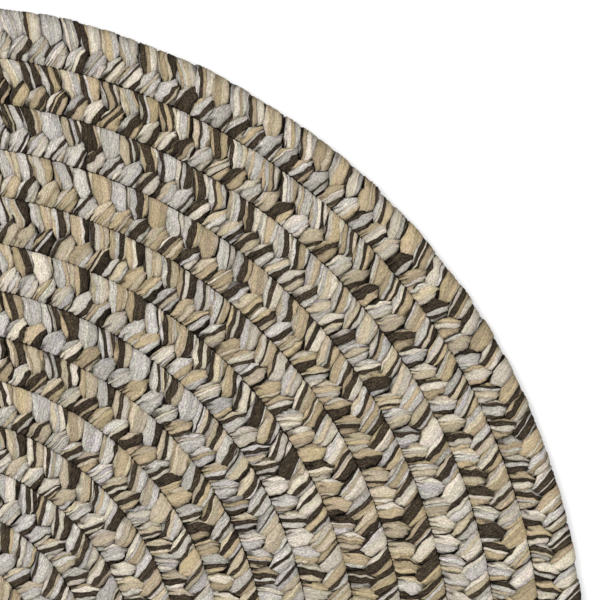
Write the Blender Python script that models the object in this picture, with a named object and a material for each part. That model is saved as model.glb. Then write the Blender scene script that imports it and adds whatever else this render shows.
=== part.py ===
"""Round braided rug: one long plait of three strands, coiled flat and laced row to row.

The rug lies flat with its good side up. Its origin is on the floor, under the middle of its outline.
Metres, +Z up. Seen from above, the coil grows clockwise from the middle to the tail.
"""
import math

import bmesh
import bpy
from mathutils import Vector

# Sizes of the plait and of the coil
ROW_WIDTH = 0.0305          # width of the plait, which is one row of the rug
THICKNESS = 0.012           # floor to the crown of a row
GROOVE_TOP = 0.0078         # height of the groove between two rows, on top
GROOVE_UNDER = 0.0030       # height of the groove between two rows, underneath
TURNS = 15.5                # turns of the coil from its start to the tip of its tail
TAIL_TURNS = 0.17           # share of the last turn over which the plait narrows to its tip
START_ANGLE = math.radians(54)   # where the coil starts, clockwise from +Y

# The rows about two thirds of the way out are laced a little closer to the middle
SLACK = 0.0038
SLACK_RADIUS = 0.261
SLACK_SPREAD = 0.071

# The last row is wider on one side of the rug than on the other
LEAN_X, LEAN_Y = -0.0022, 0.0031   # how far its outer edge lies off the middle of the other rows
LEAN_FROM, LEAN_FULL = 14.2, 14.7  # the turns over which it moves there

# How finely the shape is drawn
STEPS = ((0, 22), (5, 44), (13, 88))          # from this turn on, straight steps in one turn
TOP_STATIONS = (0.0, 0.22, 0.5, 0.78, 1.0)    # points across a row, on top
UNDER_STATIONS = (0.0, 0.2, 0.8, 1.0)         # and underneath, flat between the middle two
WELD = 0.00001

COLOUR = (0.296, 0.254, 0.195, 1.0)


def clear_scene():
    for item in list(bpy.data.objects):
        bpy.data.objects.remove(item, do_unlink=True)


def coil_radius(turns):
    """Radius of the plait's outer edge, this many turns from the start of the coil."""
    even = ROW_WIDTH * turns
    slack = SLACK * math.exp(-((even - SLACK_RADIUS) / SLACK_SPREAD) ** 2)
    moved = min(1.0, max(0.0, (turns - LEAN_FROM) / (LEAN_FULL - LEAN_FROM)))
    angle = START_ANGLE + 2 * math.pi * turns
    lean = LEAN_X * math.sin(angle) + LEAN_Y * math.cos(angle)
    return even - slack + lean * moved ** 2 * (3 - 2 * moved)


def row_edges(turns):
    """Inner and outer radius of the plait: each turn lies against the turn before it."""
    inner = max(0.0, coil_radius(turns - 1))
    width = max(0.0, coil_radius(turns) - inner)
    tail = (turns - (TURNS - TAIL_TURNS)) / TAIL_TURNS
    if tail > 0:
        width *= math.cos(min(tail, 1.0) * math.pi / 2)
    return inner, inner + width


def top_height(across, fullness):
    """Crowned over the row, down to the groove at both of its edges."""
    crown = 1 - abs(2 * across - 1) ** 3
    return GROOVE_TOP + (THICKNESS - GROOVE_TOP) * crown * math.sqrt(fullness)


def under_height(across, fullness):
    """Flat on the floor but for the grooves."""
    flat = 0.0 if across in (0.0, 1.0) else 1.0
    return GROOVE_UNDER * (1 - flat * min(1.0, 3 * fullness))


def places_along():
    """Where the shape is drawn along the coil, in turns from its start."""
    places = []
    ends = [start for start, _ in STEPS[1:]] + [TURNS]
    for (start, steps), end in zip(STEPS, ends):
        places += [start + step / steps for step in range(round((end - start) * steps))]
    return places + [TURNS]


def place_on_neighbour(turns):
    """The nearest place, going back, where the turn before this one is drawn."""
    steps = [steps for start, steps in STEPS if turns - 1 >= start]
    if not steps:
        return turns
    return 1 + math.floor((turns - 1) * steps[-1] + 0.01) / steps[-1]


def sheet(bm, stations, height):
    """One face of the plait, from a flat grid laid along the coil and welded row to row."""
    places = places_along()
    columns, rows = len(places) - 1, len(stations) - 1
    grid = bmesh.ops.create_grid(bm, x_segments=columns, y_segments=rows, size=1.0)
    for vert in grid["verts"]:
        turns = places[round((vert.co.x + 1) / 2 * columns)]
        across = stations[round((vert.co.y + 1) / 2 * rows)]
        if across == 0.0:
            turns = place_on_neighbour(turns)
        inner, outer = row_edges(turns)
        radius = inner + (outer - inner) * across
        fullness = min(1.0, (outer - inner) / ROW_WIDTH)
        angle = START_ANGLE + 2 * math.pi * turns
        vert.co = Vector((radius * math.sin(angle), radius * math.cos(angle), height(across, fullness)))
    bmesh.ops.remove_doubles(bm, verts=grid["verts"], dist=WELD)


def close_rim(bm):
    """The wall that joins the top and the underside all the way round."""
    rim = [edge for edge in bm.edges if edge.is_boundary]
    bmesh.ops.bridge_loops(bm, edges=rim)


def centre_on_floor(bm):
    """Moves the rug so that the middle of its outline is over the origin."""
    middle = Vector()
    for axis in (0, 1):
        places = [vert.co[axis] for vert in bm.verts]
        middle[axis] = (min(places) + max(places)) / 2
    bmesh.ops.translate(bm, verts=bm.verts, vec=-middle)


def braid_material():
    material = bpy.data.materials.new("braid")
    material.use_nodes = True
    shader = material.node_tree.nodes["Principled BSDF"]
    shader.inputs["Base Color"].default_value = COLOUR
    shader.inputs["Roughness"].default_value = 0.95
    shader.inputs["Metallic"].default_value = 0.0
    return material


def build_rug(collection):
    bm = bmesh.new()
    sheet(bm, TOP_STATIONS, top_height)
    sheet(bm, UNDER_STATIONS, under_height)
    close_rim(bm)
    centre_on_floor(bm)
    bmesh.ops.triangulate(bm, faces=bm.faces)
    bmesh.ops.recalc_face_normals(bm, faces=bm.faces)
    mesh = bpy.data.meshes.new("braided_rug")
    bm.to_mesh(mesh)
    bm.free()
    mesh.shade_smooth()
    mesh.materials.append(braid_material())
    rug = bpy.data.objects.new("braided_rug", mesh)
    collection.objects.link(rug)
    return rug


def main():
    clear_scene()
    collection = bpy.data.collections.new("Braided rug")
    bpy.context.scene.collection.children.link(collection)
    build_rug(collection)


main()
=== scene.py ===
"""Looks of the round braided rug: the plait's three strands, the coil's inside, finish and light.

Metres, +Z up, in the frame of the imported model. Sizes across the plait are in millimetres where the
name says so. "Outer" is the side of a row that faces the rim, "inner" the side that faces the
middle. A lobe is the part of a strand that shows between two crossings. A wrap is a strand's way
round one edge of the plait, from the underside to the top, and its last part is the lobe.
"""
import math
from types import SimpleNamespace

import bpy
import numpy as np
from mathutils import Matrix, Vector


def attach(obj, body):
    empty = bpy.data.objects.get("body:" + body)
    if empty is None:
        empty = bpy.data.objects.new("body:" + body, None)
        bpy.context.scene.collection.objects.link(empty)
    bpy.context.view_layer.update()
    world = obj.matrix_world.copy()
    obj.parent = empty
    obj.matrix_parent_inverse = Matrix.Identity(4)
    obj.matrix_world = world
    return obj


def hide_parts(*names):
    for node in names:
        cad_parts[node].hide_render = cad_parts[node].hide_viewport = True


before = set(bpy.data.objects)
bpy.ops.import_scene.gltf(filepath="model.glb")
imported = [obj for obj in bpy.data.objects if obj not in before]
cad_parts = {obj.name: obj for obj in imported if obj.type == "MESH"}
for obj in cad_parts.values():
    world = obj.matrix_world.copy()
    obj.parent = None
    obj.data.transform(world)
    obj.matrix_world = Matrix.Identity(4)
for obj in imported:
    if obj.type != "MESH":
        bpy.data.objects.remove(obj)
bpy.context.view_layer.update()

# The coil, as the solid has it
ROW_WIDTH = 0.0305          # width of the plait, which is one row of the rug
THICKNESS = 0.012
TURNS = 15.5
TAIL_TURNS = 0.17           # share of the last turn over which the plait narrows to its tip
START_ANGLE = math.radians(54)
SLACK = 0.0038              # the rows about two thirds of the way out lie closer to the middle
SLACK_RADIUS = 0.261
SLACK_SPREAD = 0.071
LEAN_X, LEAN_Y = -0.0022, 0.0031        # how far the last row's outer edge lies off the middle
LEAN_FROM, LEAN_FULL = 14.2, 14.7       # the turns over which it moves there
OUTLINE_STEPS = 88          # straight steps in its last turn
GRID_STEPS = 40000          # steps in which places along the coil are looked up

# Where the plait gets narrower, at its start and at its tail
LEAST_FULLNESS = 0.02       # of the plait's width
LEAST_HEIGHT = 0.4          # of its height
LEAST_LOBE = 0.35           # of a lobe's length

# The plait
STRANDS = 3
LOBE = 0.01345              # along the row, from one lobe to the next of the same column
LOBE_MM = LOBE * 1000
FIRST_TURN = 0.30           # the strands begin here, in turns from the coil's start
SEED = 337
TONE_SEED = SEED + 100

# One period of a strand, from the fold at the outer edge: (across mm, height mm, along lobes,
# width lobes, thickness mm, roll mm, tilt mm). Across is measured from the row's inner edge.
OUTER_TOP = (
    (29.4, 5.7, -0.12, 1.10, 3.2, -2.4, 0.0),
    (29.2, 8.9, -0.05, 1.10, 3.5, -2.1, 0.3),
    (26.9, 9.7, 0.06, 1.10, 4.2, -1.5, 0.7),
    (22.8, 9.75, 0.21, 1.10, 4.6, -0.5, 0.9),
    (18.4, 9.7, 0.31, 1.05, 4.6, 0.8, 0.9),
    (15.6, 9.55, 0.36, 0.72, 4.4, 1.7, 0.8),
    (12.6, 8.6, 0.41, 0.30, 3.8, 2.5, 0.3),
)
INNER_UNDER = (
    (9.2, 5.0, 0.70, 0.50, 4.0, 3.5, 0.0),
    (4.0, 2.7, 1.28, 0.90, 4.6, 3.0, 0.0),
)
INNER_TOP = (
    (1.1, 5.7, 1.67, 1.10, 3.2, 2.4, 0.0),
    (1.4, 8.7, 1.68, 1.10, 3.5, 2.2, 0.3),
    (3.8, 9.55, 1.705, 1.10, 4.2, 1.4, 0.8),
    (7.6, 9.7, 1.74, 1.10, 4.6, 0.3, 1.2),
    (11.2, 9.6, 1.76, 1.05, 4.6, -0.8, 1.1),
    (14.0, 9.3, 1.82, 0.72, 4.4, -1.7, 0.8),
    (16.9, 8.1, 1.89, 0.30, 3.8, -2.5, 0.4),
)
OUTER_UNDER = (
    (20.4, 5.0, 2.10, 0.50, 4.0, -2.7, 0.0),
    (26.2, 2.7, 2.62, 0.90, 4.6, -2.6, 0.0),
)
STATIONS = np.array(OUTER_TOP + INNER_UNDER + INNER_TOP + OUTER_UNDER)
OUTER_DIVE = len(OUTER_TOP)                             # where the outer lobe goes under
INNER_FOLD = OUTER_DIVE + len(INNER_UNDER)              # where it turns up at the inner edge
INNER_DIVE = INNER_FOLD + len(INNER_TOP)                # where the inner lobe goes under
PERIOD_STATIONS = len(STATIONS)
TURNING_POINTS = (0, OUTER_DIVE, INNER_FOLD, INNER_DIVE, PERIOD_STATIONS)
TIPS = (OUTER_DIVE - 2, OUTER_DIVE - 1, INNER_DIVE - 2, INNER_DIVE - 1)
OUTER_EDGE = (0, 1, 2)
INNER_EDGE = (INNER_FOLD, INNER_FOLD + 1, INNER_FOLD + 2)

# How far the wraps wander from their places: standard deviations, and the limit in such deviations
WANDER = {
    "tip_mm": 0.65,         # the lobe's tip, across the row
    "across_mm": 0.15,      # the whole wrap, across the row
    "height_mm": 0.2,
    "along": 0.045,         # in lobes
    "width": 0.035,         # share of the width
    "roll": 0.2,            # share of the roll
    "roll_mm": 0.4,
    "bend_mm": 0.8,         # roll one way and back again along the lobe
}
WANDER_LIMIT = 2
RIPPLE_ALONG, RIPPLE_WIDTH = 0.02, 0.03                 # from station to station: lobes, width

# The last row, against the others
RIM_WIDER = 0.02            # share by which it is wider
RIM_WANDER = 3              # how many times as far its outer edge wanders
RIM_NARROWER = 0.04         # share of a lobe by which its folds are narrower

# A strand's section: a flattened bundle of yarns
YARNS = 8                   # yarns round a strand
GIRTH = 32.0                # mm round a strand, where it isn't squeezed
CORNER_MM = 0.9             # rounding of its edges
CORNER_SHARE = 0.8          # and at most this share of half its width or thickness
CROWN = 0.32                # how much thinner it is at its edges than in the middle
SPREAD = 0.78               # how wide a yarn lies on the side that shows, against its even share
MOST_STRETCH = 0.8
GROOVE_MM = (0.4, 1.1)      # least and greatest depth between two yarns
GROOVE_ALIKE = 0.55         # share of that depth between two yarns of one kind
GROOVE_AT_TIP, GROOVE_AT_FOLD = 0.3, 0.5                # how much deeper it gets there
GROOVE_WANDER, GROOVE_LIMIT = 0.15, 1.8                 # share of the yarn's width, and its limit

# Short creases where the strand folds up at the inner edge
CREASES = (INNER_FOLD + 1, INNER_FOLD + 2)
CREASE_AT, CREASE_REACH = 0.38, 0.06                    # way round the section
CREASE_MM = 1.3

# How a strand's yarns change along it
CHANGING = 0.13             # chance that a yarn makes room for another, at each wrap
COPYING = 0.2               # chance that a light yarn takes after the one beside it
SHY = 0.55                  # chance that a dark yarn isn't put beside another
MOST_DARK = 4
WARMTH_KEPT, WARMTH_ADDED = 0.9, 0.42                   # from wrap to wrap
WARMTH_PULL = 1.1           # how strongly it sets which kinds lie there
WIDTH_KEPT, WIDTH_ADDED = 0.86, 0.51                    # from node to node
WIDTH_SPREAD = 0.5          # how much wider and narrower the yarns get
TURN_MM, TURN_SPREAD_MM = 0.1, 0.35                     # how far the yarns turn at each node

# Yarns: (name, how many of a strand's yarns on average, how much more in a warm stretch,
# contrast of the fibres, colour). The first kind is the dark one.
YARN_KINDS = (
    ("charcoal", 3.35, 0.0, 2.7, (0.043, 0.032, 0.021)),
    ("grey", 1.95, -1.0, 1.3, (0.403, 0.384, 0.350)),
    ("cream", 1.85, -0.3, 1.05, (0.491, 0.448, 0.370)),
    ("beige", 1.55, 0.6, 1.05, (0.407, 0.350, 0.253)),
    ("tan", 1.15, 1.0, 1.05, (0.360, 0.291, 0.187)),
)

# Noise over the fibre map: (name, scale along, scale round, detail, roughness, low, high)
NOISES = (
    ("drift", 0.012, 0.03, 2.0, 0.6, 0.35, 0.65),
    ("hue", 0.11, 0.28, 2.0, 0.6, 0.32, 0.68),
    ("streaks", 0.20, 0.9, 3.0, 0.7, 0.34, 0.66),
    ("grain", 0.7, 1.0, 2.0, 0.8, 0.36, 0.64),
)
DRIFT_BLUE = (0.94, 1.05)   # warmer and cooler stretches
TONES = (0.77, 1.25)        # darker and lighter yarns
HUES = ((1.05, 0.982, 1.035), (0.98, 1.008, 0.925))
STREAK_DARKER, STREAK_LIGHTER = 0.27, 0.22              # times a kind's contrast
GRAIN_DARKER, GRAIN_LIGHTER = 0.30, 0.28
# Painted shade: the colour a yarn darkens towards in its grooves
GROOVE_SHADE_COLOUR = (0.10, 0.085, 0.07)
GROOVE_POWER = 2.3          # how steeply the painted shade darkens a yarn towards its groove
STREAK_RELIEF, GRAIN_RELIEF = 0.35, 0.12                # against the relief of a yarn
RELIEF, RELIEF_HEIGHT = 0.8, 0.0007
DULL = 0.12                 # specular level of the yarns

# Painted shade in the yarn map: how far the folds, the dives and the strand's edges darken
FOLD_SHADE, DIVE_SHADE = 0.3, 0.5
RIM_SHADES = (0.7, 0.7, 0.4, 0)                         # more at the rim, by station
EDGE_SHADE, EDGE_FROM, EDGE_OVER = 0.8, 0.88, 0.1       # shares of half the width

TILE_EDGE = 0.04            # gap round a tile of the flat layout, as a share of the tile

# The hidden inside of the coil
INSIDE_FROM = 0.2           # in turns from the coil's start
INSIDE_STEPS = 96           # in a turn
INSIDE_LOW, INSIDE_HIGH = 0.0046, 0.0072
INSIDE_INSET, INSET_SHARE = 0.0015, 0.3                 # from the rim, and its most, of the row
# Painted shade: the inside is near black so that the gaps between the strands look shadowed
INSIDE_SHADE_COLOUR = (0.02, 0.016, 0.012)
INSIDE_FLECKS = (900, 900, 2.0, 0.7, 0.35, 0.65)        # columns as in NOISES
FLECK_LIGHTS = (0.6, 1.5)

# The photograph and the studio
PHOTO_PX = 600
PHOTO_MM_PER_PX = 0.679
VIEW_RIGHT_PX, VIEW_UP_PX = 389.8, 374.6                # from the coil's middle to the photograph's
LENS_MM = 230
SENSOR_MM = 36
WORLD_LIGHT = 1.3
FLOOR_SIZE = 30
FLOOR_GREY = 0.95
KEY_PLACE, KEY_SIZE, KEY_POWER = (-1.6, 1.9, 2.9), 2.0, 44


# ------------------------------------------------------------------ the coil

def coil_radius(turns):
    """Radius of the plait's outer edge, this many turns from the start of the coil."""
    even = ROW_WIDTH * turns
    slack = SLACK * np.exp(-((even - SLACK_RADIUS) / SLACK_SPREAD) ** 2)
    moved = np.clip((turns - LEAN_FROM) / (LEAN_FULL - LEAN_FROM), 0, 1)
    angle = START_ANGLE + 2 * math.pi * turns
    lean = LEAN_X * np.sin(angle) + LEAN_Y * np.cos(angle)
    return even - slack + lean * moved ** 2 * (3 - 2 * moved)


def row_edges(turns):
    """Inner and outer radius of the plait, this many turns from the start."""
    turns = np.asarray(turns, float)
    inner = np.maximum(0.0, coil_radius(turns - 1))
    width = np.maximum(0.0, coil_radius(turns) - inner)
    tail = np.clip((turns - (TURNS - TAIL_TURNS)) / TAIL_TURNS, 0, 1)
    return inner, inner + width * np.cos(tail * math.pi / 2)


def coil_centre():
    """Where the coil's middle lies, so that the outline's box is centred on the origin."""
    turns = np.linspace(TURNS - 1, TURNS, OUTLINE_STEPS + 1)
    radius = row_edges(turns)[1]
    angle = START_ANGLE + 2 * math.pi * turns
    xs, ys = radius * np.sin(angle), radius * np.cos(angle)
    return -(xs.min() + xs.max()) / 2, -(ys.min() + ys.max()) / 2


CENTRE_X, CENTRE_Y = coil_centre()
TURN_GRID = np.linspace(0.0, TURNS, GRID_STEPS + 1)


def lobe_grid():
    """Lobes counted along the coil: they get smaller where the plait gets narrower."""
    inner, outer = row_edges(TURN_GRID)
    fullness = np.clip((outer - inner) / ROW_WIDTH, 0, 1)
    pitch = LOBE * (LEAST_LOBE + (1 - LEAST_LOBE) * fullness)
    step = np.gradient(TURN_GRID) * 2 * math.pi * (inner + outer) / 2 / pitch
    return np.concatenate([[0.0], np.cumsum((step[1:] + step[:-1]) / 2)])


LOBE_GRID = lobe_grid()
FIRST_LOBE = np.interp(FIRST_TURN, TURN_GRID, LOBE_GRID)
RIM_LOBES = np.interp(TURNS - 1, TURN_GRID, LOBE_GRID)      # the last row begins here
PERIODS = int((LOBE_GRID[-1] - FIRST_LOBE) / STRANDS)       # of a strand


def height_share(fullness):
    """How high the plait is where it is narrower, against its full height."""
    return np.clip(np.sqrt(np.minimum(fullness, 1.0)), LEAST_HEIGHT, 1.0)


def round_the_coil(turns, radius, height):
    """World points from turns, radius and height above the floor."""
    angle = START_ANGLE + 2 * math.pi * turns
    x, y = CENTRE_X + radius * np.sin(angle), CENTRE_Y + radius * np.cos(angle)
    return np.stack([x, y, height], axis=-1)


def place(lobes, across, height):
    """World points from places along the coil, in lobes, and across the row and up, in metres."""
    turns = np.interp(lobes, LOBE_GRID, TURN_GRID)
    inner, outer = row_edges(turns)
    fullness = np.maximum((outer - inner) / ROW_WIDTH, LEAST_FULLNESS)
    return round_the_coil(turns, inner + across * fullness, height * height_share(fullness))


# ------------------------------------------------------------------ meshes

def tube_quads(rings, size):
    """Faces of a closed tube of rings, each of an even number of points, with flat ends."""
    i, k = np.meshgrid(np.arange(rings - 1), np.arange(size), indexing="ij")
    k2 = (k + 1) % size
    wall = np.stack([i * size + k, i * size + k2, (i + 1) * size + k2, (i + 1) * size + k], axis=-1)
    k = np.arange(size // 2 - 1)
    start = np.stack([k, size - 1 - k, size - 2 - k, k + 1], axis=-1)
    end = start[:, ::-1] + (rings - 1) * size
    return wall.reshape(-1, 4), np.concatenate([start, end])


def mesh_object(name, points, quads):
    mesh = bpy.data.meshes.new(name)
    mesh.vertices.add(len(points))
    mesh.vertices.foreach_set("co", np.asarray(points, np.float32).ravel())
    mesh.loops.add(quads.size)
    mesh.loops.foreach_set("vertex_index", quads.astype(np.int32).ravel())
    mesh.polygons.add(len(quads))
    mesh.polygons.foreach_set("loop_start", np.arange(0, quads.size, 4, dtype=np.int32))
    mesh.update(calc_edges=True)
    mesh.shade_smooth()
    obj = bpy.data.objects.new(name, mesh)
    bpy.context.scene.collection.objects.link(obj)
    return obj


# ------------------------------------------------------------------ the yarns of a strand

def yarn_kinds(rng):
    """Which kind each of a strand's yarns is, at each wrap.

    Yarns seldom change, and light ones sometimes lie beside one of their own kind. Warm and cool
    kinds take turns along the strand.
    """
    _, shares, warm, _, _ = zip(*YARN_KINDS)
    kinds = np.zeros((2 * PERIODS + 1, YARNS), int)
    kind = np.ones(YARNS, int)
    warmth = 0.0
    for wrap in range(len(kinds)):
        warmth = WARMTH_KEPT * warmth + WARMTH_ADDED * rng.normal()
        steps = np.cumsum(shares * np.exp(WARMTH_PULL * warmth * np.array(warm)))
        changing = CHANGING if wrap else 1.0
        for yarn in np.flatnonzero(rng.random(YARNS) < changing):
            picked = int(np.searchsorted(steps, rng.random() * steps[-1]))
            before, after = kind[yarn - 1], kind[(yarn + 1) % YARNS]
            if picked and before and rng.random() < COPYING:
                picked = before
            darks = np.sum(kind == 0) - (kind[yarn] == 0) + (picked == 0)
            crowded = picked == 0 and 0 in (before, after) and rng.random() < SHY
            if darks <= MOST_DARK and not crowded:
                kind[yarn] = picked
        kinds[wrap] = kind
    return kinds


def yarn_places(rng):
    """Where each yarn begins round the strand (mm), and how deep its groove is, at each node.

    The nodes are the folds and the dives, so a yarn gets wider or narrower along a lobe.
    """
    places = np.zeros((4 * PERIODS + 2, YARNS))
    depths = np.zeros_like(places)
    width = rng.normal(size=YARNS)
    turn = rng.random() * GIRTH
    for node in range(len(places)):
        width = WIDTH_KEPT * width + WIDTH_ADDED * rng.normal(size=YARNS)
        size = np.exp(WIDTH_SPREAD * width)
        size = size / size.sum() * GIRTH
        turn += rng.normal() * TURN_SPREAD_MM + TURN_MM
        places[node] = turn + np.concatenate([[0.0], np.cumsum(size)[:-1]])
        depths[node] = GROOVE_MM[0] + (GROOVE_MM[1] - GROOVE_MM[0]) * rng.random(YARNS) ** 2
    return places, depths


def yarn_grooves(rng, station, period, kinds, places, depths):
    """The grooves and crowns of each ring: their way round the strand and their depth, in mm."""
    node = 4 * period + np.interp(station, TURNING_POINTS, range(5))
    before, share = node.astype(int), (node % 1)[:, None]
    groove = places[before] * (1 - share) + places[before + 1] * share
    depth = depths[before] * (1 - share) + depths[before + 1] * share
    alike = kinds == np.roll(kinds, 1, axis=1)
    at_tip, at_fold = np.isin(station, TIPS), np.isin(station, INNER_EDGE)
    deeper = 1 + GROOVE_AT_TIP * at_tip + GROOVE_AT_FOLD * at_fold
    depth = np.where(alike, GROOVE_ALIKE, 1.0) * depth * deeper[:, None]
    gap = np.diff(groove, axis=1, append=groove[:, :1] + GIRTH)
    gap = np.minimum(gap, np.roll(gap, 1, axis=1))
    aside = np.clip(rng.normal(size=gap.shape), -GROOVE_LIMIT, GROOVE_LIMIT)
    groove = groove + GROOVE_WANDER * gap * aside
    crown = (groove + np.concatenate([groove[:, 1:], groove[:, :1] + GIRTH], axis=1)) / 2
    around = np.stack([groove, crown], axis=2).reshape(len(station), -1)
    sunk = np.stack([depth, np.zeros_like(depth)], axis=2).reshape(len(station), -1)
    return around, sunk


# ------------------------------------------------------------------ the shape of a strand

def strand_path(rng, strand, station, period, wrap):
    """Where the rings lie: across and height in mm and along in lobes, and the form of each."""
    draws = np.clip(rng.normal(size=(2 * PERIODS + 1, len(WANDER))), -WANDER_LIMIT, WANDER_LIMIT)
    wander = dict(zip(WANDER, (draws * list(WANDER.values()))[wrap].T))
    ripple = np.clip(rng.normal(size=(2, len(station))), -WANDER_LIMIT, WANDER_LIMIT)
    last_row = np.clip((STRANDS * period - RIM_LOBES) / STRANDS, 0, 1)
    at_rim = last_row * np.isin(station, OUTER_EDGE)
    lobe_ends = (0, OUTER_DIVE - 1, INNER_FOLD, INNER_DIVE - 1)
    bend = np.sin(2 * math.pi * np.interp(station, lobe_ends, (0, 1, 1, 2)))

    across, height, along, width, thick, roll, tilt = STATIONS[station].T
    across = across * (1 + RIM_WIDER * last_row) + wander["tip_mm"] * np.isin(station, TIPS)
    across = across + wander["across_mm"] * (1 + (RIM_WANDER - 1) * at_rim)
    height = height + wander["height_mm"]
    along = FIRST_LOBE + STRANDS * period + strand + along
    along = along + wander["along"] + RIPPLE_ALONG * ripple[0]
    width = width * (1 + wander["width"] + RIPPLE_WIDTH * ripple[1] - RIM_NARROWER * at_rim)
    roll = roll * (1 + wander["roll"]) + wander["roll_mm"] + wander["bend_mm"] * bend
    return SimpleNamespace(
        across=across, height=height, along=along, width=width * LOBE_MM,
        thick=thick, roll=roll, tilt=tilt, last_row=last_row)


def section_share(station, around, width_mm, thick_mm):
    """Way round the section, as a share of it.

    The yarns keep their width on the side that shows, also where the strand is squeezed.
    """
    turning = (0, OUTER_DIVE - 1, INNER_FOLD, INNER_DIVE - 1, PERIOD_STATIONS)
    side = np.interp(station, turning, (1, 1, -1, -1, 1))
    girth = 2 * (width_mm + thick_mm) - (8 - 2 * math.pi) * CORNER_MM
    stretch = np.clip(side * (SPREAD * GIRTH / girth - 1), -MOST_STRETCH, MOST_STRETCH)
    share = np.mod(around / GIRTH + 0.5, 1) - 0.5
    return share + stretch[:, None] * np.sin(2 * math.pi * share) / (2 * math.pi)


def creased(station, share, sunk):
    """The depths again, with the short creases at the inner edge."""
    here = np.isin(station, CREASES)[:, None] & (np.abs(share - CREASE_AT) < CREASE_REACH)
    is_groove = np.arange(share.shape[1]) % 2 == 0
    return np.where(here & is_groove, CREASE_MM, sunk)


def section_points(share, sunk, width_mm, thick_mm):
    """Points of a section, in mm: across its width and through it.

    Share is the way round the section, from the middle of its first face (0) to that of the other
    (0.5 or -0.5). The section is a slab with round edges, and sunk points lie below its surface.
    """
    half_width, half_thick = width_mm / 2, thick_mm / 2
    corner = np.minimum(CORNER_MM, CORNER_SHARE * np.minimum(half_width, half_thick))
    flat, wall = half_width - corner, 2 * (half_thick - corner)
    arc = math.pi / 2 * corner
    way = np.abs(share) * 2 * (2 * flat + wall + 2 * arc)
    first = np.clip((way - flat) / corner, 0, math.pi / 2)
    second = np.clip((way - flat - arc - wall) / corner, 0, math.pi / 2)
    down = np.clip(way - flat - arc, 0, wall)
    back = np.clip(way - flat - 2 * arc - wall, 0, flat)
    out_q, out_n = np.sin(first) * np.cos(second), np.cos(first) - np.sin(second)
    q = np.minimum(way, flat) - back + corner * out_q
    n = half_thick - corner - down + corner * out_n
    q, n = q - sunk * out_q, n - sunk * out_n
    n *= 1 - CROWN * (q / half_width) ** 2
    return -np.sign(share) * q, n


def ring_points(path, q_mm, n_mm):
    """World points of the rings: their sections stand square to the strand's way across and up."""
    way = np.stack([path.across, path.height])
    way = np.roll(way, -1, axis=1) - np.roll(way, 1, axis=1)
    across_way, up_way = (way / np.hypot(*way))[:, :, None]
    lobes = path.along[:, None] + q_mm / LOBE_MM
    across_mm = path.across[:, None] + n_mm * up_way
    height_mm = path.height[:, None] - n_mm * across_way - path.tilt[:, None] * q_mm / LOBE_MM
    return place(lobes, across_mm / 1000, np.maximum(0.0, height_mm) / 1000)


def crown_map(station, last_row, sunk, edge_share):
    """1 on a crown, 0 in a deep groove, and less with painted shade at the folds, the dives and the
    strand's edges.
    """
    shades = (FOLD_SHADE, 0, 0, DIVE_SHADE)
    folded = np.interp(station % INNER_FOLD, (0, 1, OUTER_DIVE, OUTER_DIVE + 1), shades)
    folded = folded + last_row * np.interp(station, range(len(RIM_SHADES)), RIM_SHADES)
    edge = np.clip((edge_share - EDGE_FROM) / EDGE_OVER, 0, 1)
    crowns = 1 - np.clip(sunk / GROOVE_MM[1], 0, 1)
    return crowns * (1 - folded[:, None]) * (1 - EDGE_SHADE * edge)


def strand_rings(strand):
    """A strand's rings: their points, wraps, way round, crowns, and the kinds of their yarns."""
    rng = np.random.default_rng(SEED + strand)
    ring = np.arange(PERIODS * PERIOD_STATIONS)
    station, period = ring % PERIOD_STATIONS, ring // PERIOD_STATIONS
    wrap = 2 * period + (station >= OUTER_DIVE) + (station >= INNER_DIVE)
    kinds = yarn_kinds(rng)[wrap]
    places, depths = yarn_places(rng)
    path = strand_path(rng, strand, station, period, wrap)
    around, sunk = yarn_grooves(rng, station, period, kinds, places, depths)
    around = around - path.roll[:, None]
    share = section_share(station, around, path.width, path.thick)
    sunk = creased(station, share, sunk)
    q_mm, n_mm = section_points(share, sunk, path.width[:, None], path.thick[:, None])
    edge_share = np.abs(q_mm) / (path.width[:, None] / 2)
    crowns = crown_map(station, path.last_row, sunk, edge_share)
    points = ring_points(path, q_mm, n_mm)
    return SimpleNamespace(points=points, wrap=wrap, around=around, crowns=crowns, kinds=kinds)


def half_of(rings, half):
    """The rings of the strand's inner or outer half. The halves share the ring between them."""
    middle = (len(rings.wrap) // 2 // PERIOD_STATIONS) * PERIOD_STATIONS
    part = slice(0, middle + 1) if half == "inner" else slice(middle, None)
    return SimpleNamespace(**{name: values[part] for name, values in vars(rings).items()})


def strand_piece(strand, half, rings, materials):
    rings = half_of(rings, half)
    size = rings.points.shape[1]
    walls, ends = tube_quads(len(rings.points), size)
    name = "strand_%d_%s" % (strand + 1, half)
    obj = mesh_object(name, rings.points.reshape(-1, 3), np.concatenate([walls, ends]))
    for material in materials:
        obj.data.materials.append(material)
    kind = rings.kinds[:-1][:, np.arange(size) // 2].ravel()
    kind = np.concatenate([kind, np.zeros(len(ends), int)])
    obj.data.polygons.foreach_set("material_index", kind.astype(np.int32))
    add_maps(obj.data, rings, strand)
    return obj


# ------------------------------------------------------------------ the maps of a strand

def add_maps(mesh, rings, strand):
    """The strand's three UV maps.

    The fibre map is in mm, along the strand and round it. The yarn map is 0 in a groove and 1 on a
    crown, less where shade is painted, and a tone. OFBake is the flat layout that the export paints
    on.
    """
    step = np.linalg.norm(np.diff(rings.points.mean(axis=1), axis=0), axis=1) * 1000
    size = rings.points.shape[1]
    maps = {
        "fibre": fibre_map(step, rings.around),
        "yarn": yarn_map(rings, strand),
        "OFBake": tile_map(len(step), size),
    }
    for name, corners in maps.items():
        flat = np.zeros((len(mesh.loops), 2), np.float32)
        flat[:corners.size // 2] = corners.reshape(-1, 2)
        mesh.uv_layers.new(name=name).data.foreach_set("uv", flat.ravel())


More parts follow.
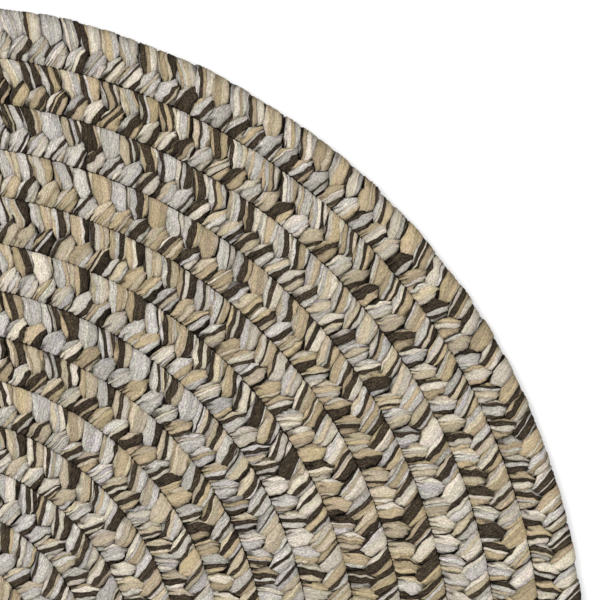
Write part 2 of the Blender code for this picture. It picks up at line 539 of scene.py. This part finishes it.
def fibre_map(step, around):
    run = np.concatenate([[0.0], np.cumsum(step)])
    start = np.broadcast_to(run[:-1, None], around[1:].shape)
    stop = np.broadcast_to(run[1:, None], around[1:].shape)
    nxt = np.concatenate([around[:, 1:], around[:, :1] + GIRTH], axis=1)
    return np.stack([start, around[:-1], start, nxt[:-1], stop, nxt[1:], stop, around[1:]], axis=-1)


def yarn_map(rings, strand):
    rng = np.random.default_rng(TONE_SEED + strand)
    size = rings.crowns.shape[1]
    tones = rng.random((rings.wrap.max() + 1, YARNS))[rings.wrap[:-1]][:, np.arange(size) // 2]
    crowns = rings.crowns
    beside = np.roll(crowns, -1, axis=1)
    corners = [crowns[:-1], tones, beside[:-1], tones, beside[1:], tones, crowns[1:], tones]
    return np.stack(corners, axis=-1)


def tile_map(rings, size):
    """A flat layout with nothing overlapping: a tile for each wrap, and one for the two ends."""
    tiles = math.ceil(rings / INNER_FOLD) + 1
    columns = math.ceil(math.sqrt(tiles))
    ring, k = np.meshgrid(np.arange(rings), np.arange(size), indexing="ij")
    cap = np.arange(size - 2)
    tile = np.concatenate([(ring // INNER_FOLD).ravel(), np.full(len(cap), tiles - 1)])
    left = np.concatenate([k.ravel(), cap]) / size
    low = np.concatenate([(ring % INNER_FOLD).ravel(), cap % 2]) / INNER_FOLD
    right, high = left + 1 / size, low + 1 / INNER_FOLD
    corners = np.stack([left, low, right, low, right, high, left, high], axis=-1).reshape(-1, 4, 2)
    corner = np.stack([tile % columns, tile // columns], axis=-1)[:, None]
    return (corner + TILE_EDGE + (1 - 2 * TILE_EDGE) * corners) / columns


# ------------------------------------------------------------------ nodes

def link(tree, source, target):
    tree.links.new(source, target)


def feed(tree, value, socket):
    """Links a socket, or sets a number or a colour on it."""
    if isinstance(value, bpy.types.NodeSocket):
        link(tree, value, socket)
    else:
        socket.default_value = (*value, 1) if isinstance(value, tuple) else value


def noise_node(tree, vector, scale_x, scale_y, detail, roughness, low, high):
    """Noise over a map, stretched so that it is 0 below low and 1 above high."""
    stretch = tree.nodes.new("ShaderNodeMapping")
    stretch.inputs["Scale"].default_value = (scale_x, scale_y, 1.0)
    link(tree, vector, stretch.inputs["Vector"])
    noise = tree.nodes.new("ShaderNodeTexNoise")
    noise.inputs["Scale"].default_value = 1.0
    noise.inputs["Detail"].default_value = detail
    noise.inputs["Roughness"].default_value = roughness
    link(tree, stretch.outputs["Vector"], noise.inputs["Vector"])
    ramp = tree.nodes.new("ShaderNodeMapRange")
    ramp.inputs["From Min"].default_value = low
    ramp.inputs["From Max"].default_value = high
    link(tree, noise.outputs["Fac"], ramp.inputs["Value"])
    return ramp.outputs["Result"]


def mix_node(tree, factor, first, second, blend="MIX"):
    mix = tree.nodes.new("ShaderNodeMix")
    mix.data_type = "RGBA"
    mix.blend_type = blend
    feed(tree, factor, mix.inputs["Factor"])
    feed(tree, first, mix.inputs["A"])
    feed(tree, second, mix.inputs["B"])
    return mix.outputs["Result"]


def math_node(tree, operation, first, second):
    node = tree.nodes.new("ShaderNodeMath")
    node.operation = operation
    feed(tree, first, node.inputs[0])
    feed(tree, second, node.inputs[1])
    return node.outputs["Value"]


def map_node(tree, name):
    node = tree.nodes.new("ShaderNodeUVMap")
    node.uv_map = name
    return node.outputs["UV"]


def bump_node(tree, relief):
    bump = tree.nodes.new("ShaderNodeBump")
    bump.inputs["Strength"].default_value = RELIEF
    bump.inputs["Distance"].default_value = RELIEF_HEIGHT
    link(tree, relief, bump.inputs["Height"])
    return bump.outputs["Normal"]


# ------------------------------------------------------------------ materials

def tint(colour, light, blue=1.0):
    return (colour[0] * light, colour[1] * light, colour[2] * light * blue)


def grey(level):
    return (level, level, level)


def new_material(name, roughness):
    material = bpy.data.materials.new(name)
    material.use_nodes = True
    shader = material.node_tree.nodes["Principled BSDF"]
    shader.inputs["Roughness"].default_value = roughness
    return material, material.node_tree, shader


def yarn_material(name, contrast, colour):
    """Matte fibres along the yarn: fine streaks, small flecks, its own tone, and painted shade in its
    grooves, at the folds and dives and at the strand's edges.
    """
    material, tree, shader = new_material("yarn_" + name, 0.92)
    shader.inputs["Specular IOR Level"].default_value = DULL
    fibre = map_node(tree, "fibre")
    parts = tree.nodes.new("ShaderNodeSeparateXYZ")
    link(tree, map_node(tree, "yarn"), parts.inputs["Vector"])
    crown, tone = parts.outputs["X"], parts.outputs["Y"]
    # the yarn's rounding, used both as relief and as painted shade
    slope = math_node(tree, "POWER", math_node(tree, "SUBTRACT", 1.0, crown), GROOVE_POWER)
    yarn_relief_and_shade = math_node(tree, "SUBTRACT", 1.0, slope)
    noise = {kind: noise_node(tree, fibre, *numbers) for kind, *numbers in NOISES}
    streaks = [grey(1 - STREAK_DARKER * contrast), grey(1 + STREAK_LIGHTER * contrast)]
    grains = [grey(1 - GRAIN_DARKER * contrast), grey(1 + GRAIN_LIGHTER * contrast)]
    drifts = [tint(colour, 1.0, blue) for blue in DRIFT_BLUE]
    layers = (
        mix_node(tree, tone, *map(grey, TONES)),
        mix_node(tree, noise["hue"], *HUES),
        mix_node(tree, noise["streaks"], *streaks),
        mix_node(tree, noise["grain"], *grains),
        # painted shade: darker towards the grooves, the folds, the dives and the strand's edges
        mix_node(tree, yarn_relief_and_shade, GROOVE_SHADE_COLOUR, grey(1.0)),
    )
    result = mix_node(tree, noise["drift"], *drifts)
    for layer in layers:
        result = mix_node(tree, 1.0, result, layer, "MULTIPLY")
    link(tree, result, shader.inputs["Base Color"])
    streak_relief = math_node(tree, "MULTIPLY", noise["streaks"], STREAK_RELIEF)
    grain_relief = math_node(tree, "MULTIPLY", noise["grain"], GRAIN_RELIEF)
    relief = math_node(tree, "ADD", math_node(tree, "ADD", streak_relief, grain_relief), yarn_relief_and_shade)
    link(tree, bump_node(tree, relief), shader.inputs["Normal"])
    return material


def inside_material():
    """The hidden inside, near black as painted shade between the strands, with lighter and darker
    flecks.
    """
    material, tree, shader = new_material("inside_painted_shade", 0.95)
    shader.inputs["Specular IOR Level"].default_value = DULL
    place_on = tree.nodes.new("ShaderNodeTexCoord").outputs["Object"]
    flecks = noise_node(tree, place_on, *INSIDE_FLECKS)
    shades = [tint(INSIDE_SHADE_COLOUR, light) for light in FLECK_LIGHTS]
    link(tree, mix_node(tree, flecks, *shades), shader.inputs["Base Color"])
    return material


def floor_material():
    material, _, shader = new_material("floor", 0.9)
    shader.inputs["Base Color"].default_value = (*grey(FLOOR_GREY), 1)
    return material


# ------------------------------------------------------------------ the inside of the coil

def coil_inside():
    """The hidden inside of the strands: a thin coiled body between their tops and undersides, dark as
    painted shade where it shows between them.
    """
    columns = int(TURNS * INSIDE_STEPS)
    turns = np.linspace(INSIDE_FROM, TURNS, columns + 1)
    inner, outer = row_edges(turns)
    inset = np.minimum(INSIDE_INSET, (outer - inner) * INSET_SHARE)
    inset = np.where(turns > TURNS - 1.0, inset, 0.0)
    high = height_share((outer - inner) / ROW_WIDTH)
    rim = outer - inset
    corners = ((inner, INSIDE_LOW), (inner, INSIDE_HIGH), (rim, INSIDE_HIGH), (rim, INSIDE_LOW))
    edges = [round_the_coil(turns, radius, height * high) for radius, height in corners]
    quads = np.concatenate(tube_quads(columns + 1, len(corners)))
    inside = mesh_object("strand_filling", np.stack(edges, axis=1).reshape(-1, 3), quads)
    inside.data.materials.append(inside_material())
    return inside


# ------------------------------------------------------------------ stage

def add_object(name, data, location):
    obj = bpy.data.objects.new(name, data)
    bpy.context.scene.collection.objects.link(obj)
    obj.location = location
    return obj


def camera():
    """Straight above the quarter of the rug that the photograph shows."""
    data = bpy.data.cameras.new("camera")
    data.lens = LENS_MM
    data.sensor_width = SENSOR_MM
    metres_per_px = PHOTO_MM_PER_PX / 1000
    height = THICKNESS + PHOTO_PX * metres_per_px * LENS_MM / SENSOR_MM
    x = CENTRE_X + VIEW_RIGHT_PX * metres_per_px
    y = CENTRE_Y + VIEW_UP_PX * metres_per_px
    bpy.context.scene.camera = add_object("camera", data, (x, y, height))


def key_light():
    data = bpy.data.lights.new("key", "AREA")
    data.shape = "SQUARE"
    data.size = KEY_SIZE
    data.energy = KEY_POWER
    light = add_object("key", data, KEY_PLACE)
    light.rotation_euler = (-Vector(KEY_PLACE)).to_track_quat("-Z", "Y").to_euler()


def world_light():
    world = bpy.data.worlds.new("studio")
    bpy.context.scene.world = world
    world.use_nodes = True
    background = world.node_tree.nodes["Background"]
    background.inputs["Color"].default_value = (1, 1, 1, 1)
    background.inputs["Strength"].default_value = WORLD_LIGHT


def stage():
    bpy.context.scene.view_settings.view_transform = "Standard"
    world_light()
    bpy.ops.mesh.primitive_plane_add(size=FLOOR_SIZE, location=(0, 0, 0))
    floor = bpy.context.object
    floor.name = "floor"
    floor.data.materials.append(floor_material())
    key_light()
    camera()


def main():
    materials = []
    for name, _, _, contrast, colour in YARN_KINDS:
        materials.append(yarn_material(name, contrast, colour))
    pieces = []
    for strand in range(STRANDS):
        rings = strand_rings(strand)
        for half in ("inner", "outer"):
            pieces.append(strand_piece(strand, half, rings, materials))
    inside = coil_inside()
    for piece in pieces + [inside]:
        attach(piece, "root")
    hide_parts("braided_rug")
    stage()


main()
